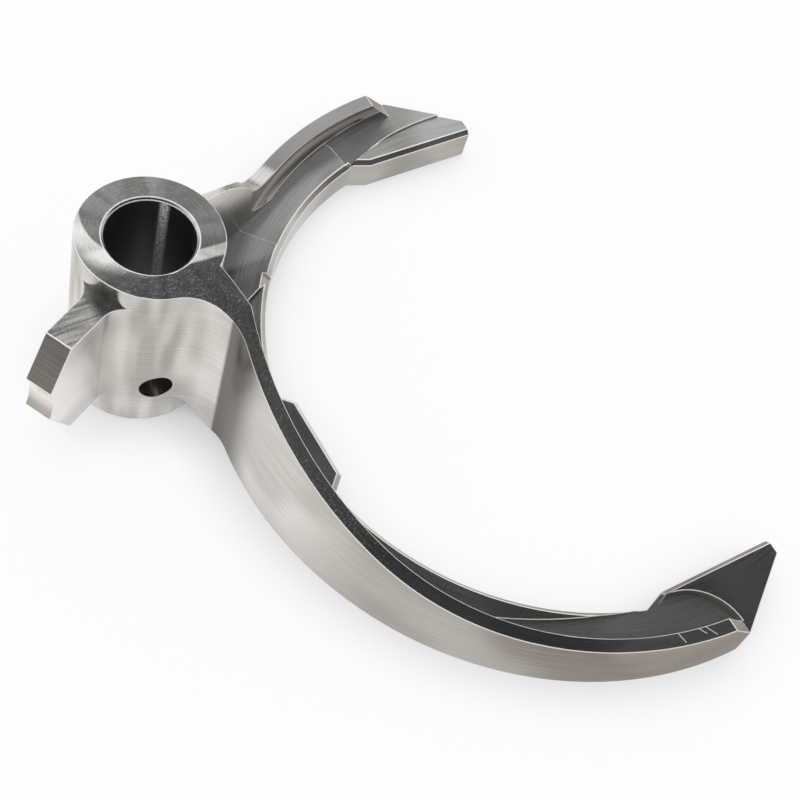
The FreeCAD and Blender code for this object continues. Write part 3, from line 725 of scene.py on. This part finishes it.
@dataclass
class SteelShop:
    """Makes the materials of the machined steel.

    Attributes:
        lines: The cutter's lines.
        walls: The marks on the walls.
        tops: The marks on the level faces.
        level: Of the height part of the normal, where a wall turns into a level face.
        line_wear: Of the lines' noise, how light the steel is.
        band_wear: Of the bands' noise, how much lighter the steel is.
        line_depth: Depth of the lines.
        streak_turn: Direction of the painted highlight streak in the bore, in radians.
        streak: Of the angle from that direction, the streak's strength.
        streak_grain: Of the grain's noise, how the streak breaks up.
        streak_fineness: How many grains there are to a radian.
        streak_step: Height of one grain.
    """

    lines: CutterLines = field(default_factory=CutterLines)
    walls: WallMarks = field(default_factory=WallMarks)
    tops: TopMarks = field(default_factory=TopMarks)
    level: Ramp = Ramp(0.6, 0.9)
    line_wear: Ramp = Ramp(0.34, 0.66, 0.28, 0.58)
    band_wear: Ramp = Ramp(0.35, 0.65, 0.0, 0.5)
    line_depth: float = 0.05 * MM
    streak_turn: float = 0.80
    streak: Ramp = Ramp(0.16, 0.056)
    streak_grain: Ramp = Ramp(0.35, 0.6, 0.25, 1.0)
    streak_fineness: float = 30.0
    streak_step: float = 0.5 * MM

    def painted_bore(self, finish: SteelFinish) -> bpy.types.Material:
        """The bore's wall: painted shade, with a painted highlight streak down the side away from the lug.

        The streak is a ramp of the direction about the bore's axis, broken up by a fine noise.

        Args:
            finish: The finish to make.

        Returns:
            The material.
        """
        nodes = NodeBuilder(finish.name)
        spot = Spot.of(nodes)
        off = nodes.math("ABSOLUTE", nodes.math("SUBTRACT", spot.turn, self.streak_turn))
        fine_turn = nodes.times(spot.turn, self.streak_fineness)
        place = nodes.join(fine_turn, nodes.math("DIVIDE", spot.z, self.streak_step))
        grain = nodes.ramp(nodes.noise(place, scale=1.0, detail=2.0), self.streak_grain)
        share = nodes.times(nodes.ramp(off, self.streak), grain)
        shader = nodes.add("ShaderNodeBsdfPrincipled")
        shader.inputs["Roughness"].default_value = finish.roughness
        nodes.feed(shader.inputs["Base Color"], nodes.blend(share, finish.dull, finish.light))
        nodes.feed(shader.inputs["Metallic"], nodes.math("SUBTRACT", finish.metal, share, clamp=True))
        nodes.surface(shader.outputs[0])
        return nodes.material

    def cut(self, nodes: NodeBuilder, spot: Spot, facing: Facing) -> Socket:
        """The cutter's lines: round the walls, along the arms and in rings on the hub's top.

        Args:
            nodes: The material's builder.
            spot: The point's place.
            facing: The way that the surface faces.

        Returns:
            A value between 0 and 1.
        """
        along = self.lines.draw(nodes, spot, ToolPath.ALONG_ARM)
        rings = self.lines.draw(nodes, spot, ToolPath.ROUND_BORE)
        faced = nodes.mix(self.tops.ring(nodes, spot), along, rings)
        return nodes.mix(facing.level, self.lines.draw(nodes, spot, ToolPath.ALONG_WALL), faced)

    def steel(self, finish: SteelFinish) -> bpy.types.Material:
        """The material of one finish on the outside.

        Args:
            finish: The finish to make.

        Returns:
            The material.
        """
        nodes = NodeBuilder(finish.name)
        spot = Spot.of(nodes)
        facing = Facing.of(nodes, self.level)
        lines = self.cut(nodes, spot, facing)
        bands = nodes.ramp(self.walls.bands(nodes, spot), self.band_wear)
        worn = nodes.math("ADD", nodes.ramp(lines, self.line_wear), bands)
        # Painted shade on the hub's wall, and a painted reflection in the stripe beside the front root.
        shade = nodes.math("SUBTRACT", worn, self.walls.hub_painted_shade(nodes, spot, facing), clamp=True)
        colour = nodes.blend(shade, finish.dull, finish.light)
        # Painted shade at the front root and on the back rib's inner wall.
        colour = nodes.blend(self.walls.clean(nodes, spot, facing), PAINTED_SHADE, colour)
        metal = nodes.math("SUBTRACT", finish.metal, self.tops.dulled(nodes, spot, facing), clamp=True)
        half = finish.streaks / 2
        roughness = nodes.spread(lines, finish.roughness - half, finish.roughness + half)
        bump = nodes.add("ShaderNodeBump")
        bump.inputs["Strength"].default_value = finish.relief
        bump.inputs["Distance"].default_value = self.line_depth
        nodes.feed(bump.inputs["Height"], lines)
        shader = nodes.add("ShaderNodeBsdfPrincipled")
        nodes.feed(shader.inputs["Base Color"], colour)
        nodes.feed(shader.inputs["Metallic"], metal)
        nodes.feed(shader.inputs["Roughness"], roughness)
        nodes.feed(shader.inputs["Normal"], bump.outputs[0])
        nodes.surface(shader.outputs[0])
        return nodes.material


@dataclass
class ForkBody:
    """The one machined piece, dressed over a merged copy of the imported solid.

    Attributes:
        edge_width: Width of the deburred edges.
        edge_steps: Faces across a deburred edge.
        bore_reach: Upright faces nearer to the bore's axis than this are the bore's wall.
        upright_limit: Height part of the normal under which a face is upright.
        sharp_angle: Angle past which two faces meet in an edge, in degrees.
        width_angle: How much more than that gives the strip its full width, in degrees.
        weld: Distance under which two corners are one.
        flat_angle: Angle under which two faces are one, in degrees.
        cross_hole: A point on the axis of the cross hole.
        cross_way: Direction of that axis.
        cross_reach: Edges nearer to that axis stay sharp.
        shop: Where its materials are made.
    """

    edge_width: float = 0.14 * MM
    edge_steps: int = 2
    bore_reach: float = 8.1 * MM
    upright_limit: float = 0.1
    sharp_angle: float = 28.0
    width_angle: float = 12.0
    weld: float = 0.001 * MM
    flat_angle: float = 0.3
    cross_hole: tuple[float, float, float] = (0.0, 0.0, 10.4 * MM)
    cross_way: tuple[float, float, float] = (-0.21644, -0.976296, 0.0)
    cross_reach: float = 3.3 * MM
    shop: SteelShop = field(default_factory=SteelShop)

    def merged_copy(self) -> bpy.types.Object:
        """A copy of the solid with shared corners and its coplanar triangles joined.

        Returns:
            The new object, at the origin, unturned and unscaled.
        """
        mesh = bmesh.new()
        mesh.from_mesh(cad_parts[NODE].data)
        bmesh.ops.remove_doubles(mesh, verts=mesh.verts, dist=self.weld)
        bmesh.ops.dissolve_degenerate(mesh, edges=mesh.edges, dist=self.weld)
        flat = math.radians(self.flat_angle)
        bmesh.ops.dissolve_limit(mesh, angle_limit=flat, verts=mesh.verts, edges=mesh.edges)
        for face in mesh.faces:
            face.smooth = True
            place = MaterialPlace.BORE if self.is_in_bore(face) else MaterialPlace.STEEL
            face.material_index = int(place)
        deburred = mesh.edges.layers.float.new("bevel_weight_edge")
        for edge in mesh.edges:
            edge.smooth = edge.calc_face_angle(0.0) < math.radians(self.sharp_angle)
            edge[deburred] = self.deburring(edge)
        data = bpy.data.meshes.new("fork_body")
        mesh.to_mesh(data)
        mesh.free()
        piece = bpy.data.objects.new("fork_body", data)
        bpy.context.scene.collection.objects.link(piece)
        return piece

    def is_in_bore(self, face: bmesh.types.BMFace) -> bool:
        """Whether a face belongs to the bore's wall."""
        middle = face.calc_center_median()
        return math.hypot(middle.x, middle.y) < self.bore_reach and abs(face.normal.z) < self.upright_limit

    def deburring(self, edge: bmesh.types.BMEdge) -> float:
        """How wide an edge was broken with a file.

        Outer edges away from the cross hole get a strip. Its width grows with the angle, from
        nothing at the sharp angle, so that it dies out where two faces run into one.

        Args:
            edge: The edge.

        Returns:
            The strip's share of the full width.
        """
        middle = (edge.verts[0].co + edge.verts[1].co) / 2 - Vector(self.cross_hole)
        along = Vector(self.cross_way)
        off_axis = (middle - middle.dot(along) * along).length
        if edge.smooth or not edge.is_convex or off_axis < self.cross_reach:
            return 0.0
        return min(1.0, (math.degrees(edge.calc_face_angle(0.0)) - self.sharp_angle) / self.width_angle)

    def break_edges(self, piece: bpy.types.Object) -> None:
        """Breaks the edges by their weights, and shades small faces like the large ones beside them.

        Args:
            piece: The merged copy.
        """
        strips = piece.modifiers.new("deburred", "BEVEL")
        strips.width = self.edge_width
        strips.segments = self.edge_steps
        strips.limit_method = "WEIGHT"
        strips.use_clamp_overlap = False
        strips.material = int(MaterialPlace.EDGES)
        even = piece.modifiers.new("even_shading", "WEIGHTED_NORMAL")
        even.mode = "FACE_AREA_WITH_ANGLE"
        even.keep_sharp = True

    def build(self) -> bpy.types.Object:
        """Builds and dresses the piece.

        Returns:
            The finished object.
        """
        piece = self.merged_copy()
        finishes = {
            MaterialPlace.STEEL: self.shop.steel(BRUSHED),
            MaterialPlace.EDGES: self.shop.steel(DEBURRED_GLINT),
            MaterialPlace.BORE: self.shop.painted_bore(BORE_PAINTED_SHADE_AND_STREAK),
        }
        for place in MaterialPlace:
            piece.data.materials.append(finishes[place])
        self.break_edges(piece)
        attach(piece, BODY)
        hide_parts(NODE)
        log.info("%s: %d corners before its edges are broken", piece.name, len(piece.data.vertices))
        return piece


@dataclass
class Studio:
    """The pale floor, the white surroundings, the soft light and the camera.

    Attributes:
        floor_size: Side of the square floor.
        floor_level: Height of the floor, just under the part.
        floor_colour: Colour of the floor.
        floor_glow: Share of plain white in what is seen of the open floor.
        shadow_reach: How far from the part its soft shadow thins out.
        shadow_power: How quickly it thins out.
        shadow_rays: Rays that look for the part from a point of the floor.
        well: Of the distance from the bore, how much of its glow the floor under it keeps: a painted
            shadow.
        painted_reflection_near: Painted reflection colour that the steel shows near the hub.
        painted_reflection_middle: Painted reflection colour that the steel shows half way out.
        painted_reflection_far: Painted reflection colour that the steel shows at the tips.
        painted_reflection_turn: Of the distance from the bore, where the first turns into the second.
        painted_reflection_reach: Of the same, where the second turns into the third.
        world_level: Strength of the surroundings as a light.
        dark_axis: Direction of the unlit side of the studio.
        dark_level: Strength of that side.
        sky: Of the cosine from that direction, how the sky darkens.
        sky_power: Power of the sky's ramp.
        sky_grey: Grey of the sky that the steel shows.
        cards: Directions of the two dark cards near the horizon.
        card: Of the cosine from a card's direction, how it darkens the sky.
        eye: Place of the camera.
        heading: Turn of the camera about the vertical, in degrees.
        elevation: How steeply the camera looks down, in degrees.
        roll: Turn of the camera about its own axis, in degrees.
        lens: Focal length, in millimetres.
        sensor: Width of the picture behind the lens, in millimetres.
        near_limit: Nearest distance that the camera sees.
    """

    floor_size: float = 6.0
    floor_level: float = -0.02 * MM
    floor_colour: float = 0.86
    floor_glow: float = 0.93
    shadow_reach: float = 11.0 * MM
    shadow_power: float = 0.8
    shadow_rays: int = 8
    well: Ramp = Ramp(9.8 * MM, 14.0 * MM, 0.30, 1.0)
    painted_reflection_near: Tone = (0.97, 0.955, 0.93)
    painted_reflection_middle: Tone = (0.49, 0.46, 0.425)
    painted_reflection_far: Tone = (0.30, 0.245, 0.195)
    painted_reflection_turn: Ramp = Ramp(34.0 * MM, 66.0 * MM)
    painted_reflection_reach: Ramp = Ramp(78.0 * MM, 112.0 * MM)
    world_level: float = 0.95
    dark_axis: tuple[float, float, float] = (0.059, -0.337, 0.94)
    dark_level: float = 0.014
    sky: Ramp = Ramp(0.41, 0.685, 1.0, 0.0)
    sky_power: float = 2.0
    sky_grey: Tone = (0.8, 0.8, 0.8)
    cards: tuple[tuple[float, float, float], ...] = ((-0.99, -0.14, 0.03), (0.81, -0.58, 0.06))
    card: Ramp = Ramp(0.90, 0.975, 1.0, 0.12)
    eye: tuple[float, float, float] = (-89.42 * MM, -148.56 * MM, 256.55 * MM)
    heading: float = -47.60
    elevation: float = 55.09
    roll: float = 20.53
    lens: float = 72.76
    sensor: float = 36.0
    near_limit: float = 5.0 * MM

    def floor(self) -> bpy.types.Object:
        """The floor: one large square that keeps the part's shadow.

        Returns:
            The floor's object.
        """
        half = self.floor_size / 2
        corners = [(-half, -half, self.floor_level), (half, -half, self.floor_level)]
        corners += [(half, half, self.floor_level), (-half, half, self.floor_level)]
        data = bpy.data.meshes.new("floor")
        data.from_pydata(corners, [], [(0, 1, 2, 3)])
        piece = bpy.data.objects.new("floor", data)
        bpy.context.scene.collection.objects.link(piece)
        data.materials.append(self.pale())
        return piece

    def pale(self) -> bpy.types.Material:
        """The floor's material: it glows where it is seen or reflected, but not in the soft shadow.

        The camera sees a white glow. Steel sees a painted reflection, a colour that turns darker and
        warmer with the distance from the bore. Under the bore, a painted shadow takes part of the glow.

        Returns:
            The material.
        """
        nodes = NodeBuilder("pale_floor")
        away = nodes.add("ShaderNodeVectorMath", operation="LENGTH")
        nodes.feed(away.inputs[0], nodes.add("ShaderNodeTexCoord").outputs["Object"])
        distance = away.outputs["Value"]
        # Painted reflection: what the steel shows of the floor, darker and warmer further from the bore.
        painted_reflection = nodes.blend(nodes.ramp(distance, self.painted_reflection_turn), self.painted_reflection_near, self.painted_reflection_middle)
        painted_reflection = nodes.blend(nodes.ramp(distance, self.painted_reflection_reach), painted_reflection, self.painted_reflection_far)
        path = nodes.add("ShaderNodeLightPath").outputs
        white = nodes.add("ShaderNodeEmission")
        white.inputs["Strength"].default_value = 1.0
        nodes.feed(white.inputs["Color"], nodes.blend(path["Is Glossy Ray"], WHITE, painted_reflection))
        seen = nodes.most(path["Is Camera Ray"], path["Is Glossy Ray"], path["Is Transmission Ray"])
        open_sky = nodes.add("ShaderNodeAmbientOcclusion", samples=self.shadow_rays)
        open_sky.inputs["Distance"].default_value = self.shadow_reach
        clear = nodes.math("POWER", open_sky.outputs["AO"], self.shadow_power)
        # Painted shadow on the floor under the bore.
        clear = nodes.times(clear, nodes.ramp(distance, self.well))
        matt = nodes.add("ShaderNodeBsdfDiffuse")
        matt.inputs["Color"].default_value = (self.floor_colour, self.floor_colour, self.floor_colour, 1.0)
        mix = nodes.add("ShaderNodeMixShader")
        nodes.feed(mix.inputs[0], nodes.times(seen, self.floor_glow, clear))
        nodes.feed(mix.inputs[1], matt.outputs[0])
        nodes.feed(mix.inputs[2], white.outputs[0])
        nodes.surface(mix.outputs[0])
        return nodes.material

    def world(self) -> None:
        """White surroundings that fall off to a dark side overhead.

        What the steel shows is a power of a ramp of the cosine between the direction and the dark
        axis: dark within about 47 degrees of it and pale beyond about 66. Two cards near the
        horizon darken it as well. As a light, and to the camera, the surroundings are white.
        """
        world = bpy.data.worlds.new("studio")
        world.use_nodes = True
        bpy.context.scene.world = world
        nodes = NodeBuilder.on(world.node_tree)
        aim = nodes.add("ShaderNodeTexCoord").outputs["Generated"]
        cap = nodes.ramp(self.facing(nodes, aim, self.dark_axis), self.sky)
        cap = nodes.most(nodes.math("POWER", cap, self.sky_power), self.dark_level)
        for card in self.cards:
            cap = nodes.times(cap, nodes.ramp(self.facing(nodes, aim, card), self.card))
        path = nodes.add("ShaderNodeLightPath").outputs
        light = self.lamp(nodes, WHITE, self.world_level)
        shown = self.lamp(nodes, self.sky_grey, cap)
        lit = self.choose(nodes, path["Is Glossy Ray"], light, shown)
        seen = self.choose(nodes, path["Is Camera Ray"], lit, self.lamp(nodes, WHITE, 1.0))
        nodes.feed(nodes.add("ShaderNodeOutputWorld").inputs["Surface"], seen)

    def lamp(self, nodes: NodeBuilder, colour: Tone, strength: Value) -> Socket:
        """Surroundings of one colour.

        Args:
            nodes: The builder of the surroundings.
            colour: Their colour.
            strength: How strongly they shine.

        Returns:
            The shader's socket.
        """
        node = nodes.add("ShaderNodeBackground")
        node.inputs["Color"].default_value = (*colour, 1.0)
        nodes.feed(node.inputs["Strength"], strength)
        return node.outputs[0]

    def choose(self, nodes: NodeBuilder, test: Socket, no: Socket, yes: Socket) -> Socket:
        """One of two shaders.

        Args:
            nodes: The builder of the surroundings.
            test: A socket that is 0 or 1.
            no: The shader at 0.
            yes: The shader at 1.

        Returns:
            The chosen shader's socket.
        """
        node = nodes.add("ShaderNodeMixShader")
        for socket, part in zip(node.inputs, (test, no, yes)):
            nodes.feed(socket, part)
        return node.outputs[0]

    def facing(self, nodes: NodeBuilder, aim: Socket, axis: tuple[float, float, float]) -> Socket:
        """The cosine of the angle between a direction and an axis.

        Args:
            nodes: The builder of the surroundings.
            aim: The direction's socket.
            axis: The axis.

        Returns:
            The cosine's socket.
        """
        node = nodes.add("ShaderNodeVectorMath", operation="DOT_PRODUCT")
        nodes.feed(node.inputs[0], aim)
        node.inputs[1].default_value = Vector(axis).normalized()
        return node.outputs["Value"]

    def camera(self) -> bpy.types.Object:
        """The camera at the photograph's viewing angle.

        Returns:
            The camera's object.
        """
        data = bpy.data.cameras.new("camera")
        data.lens = self.lens
        data.sensor_width = self.sensor
        data.clip_start = self.near_limit
        camera = bpy.data.objects.new("camera", data)
        turn = Matrix.Rotation(math.radians(self.heading), 4, "Z")
        tilt = Matrix.Rotation(math.radians(90.0 - self.elevation), 4, "X")
        roll = Matrix.Rotation(math.radians(self.roll), 4, "Z")
        camera.matrix_world = Matrix.Translation(self.eye) @ turn @ tilt @ roll
        bpy.context.scene.collection.objects.link(camera)
        bpy.context.scene.camera = camera
        return camera

    def build(self) -> None:
        """Sets the whole studio up."""
        floor = self.floor()
        self.world()
        camera = self.camera()
        bpy.context.scene.view_settings.view_transform = "Standard"
        log.info("studio: %s, surroundings and %s", floor.name, camera.name)


def main() -> None:
    """Builds the part and the studio in order."""
    logging.basicConfig(level=logging.INFO)
    ForkBody().build()
    Studio().build()


if __name__ == "__main__":
    main()
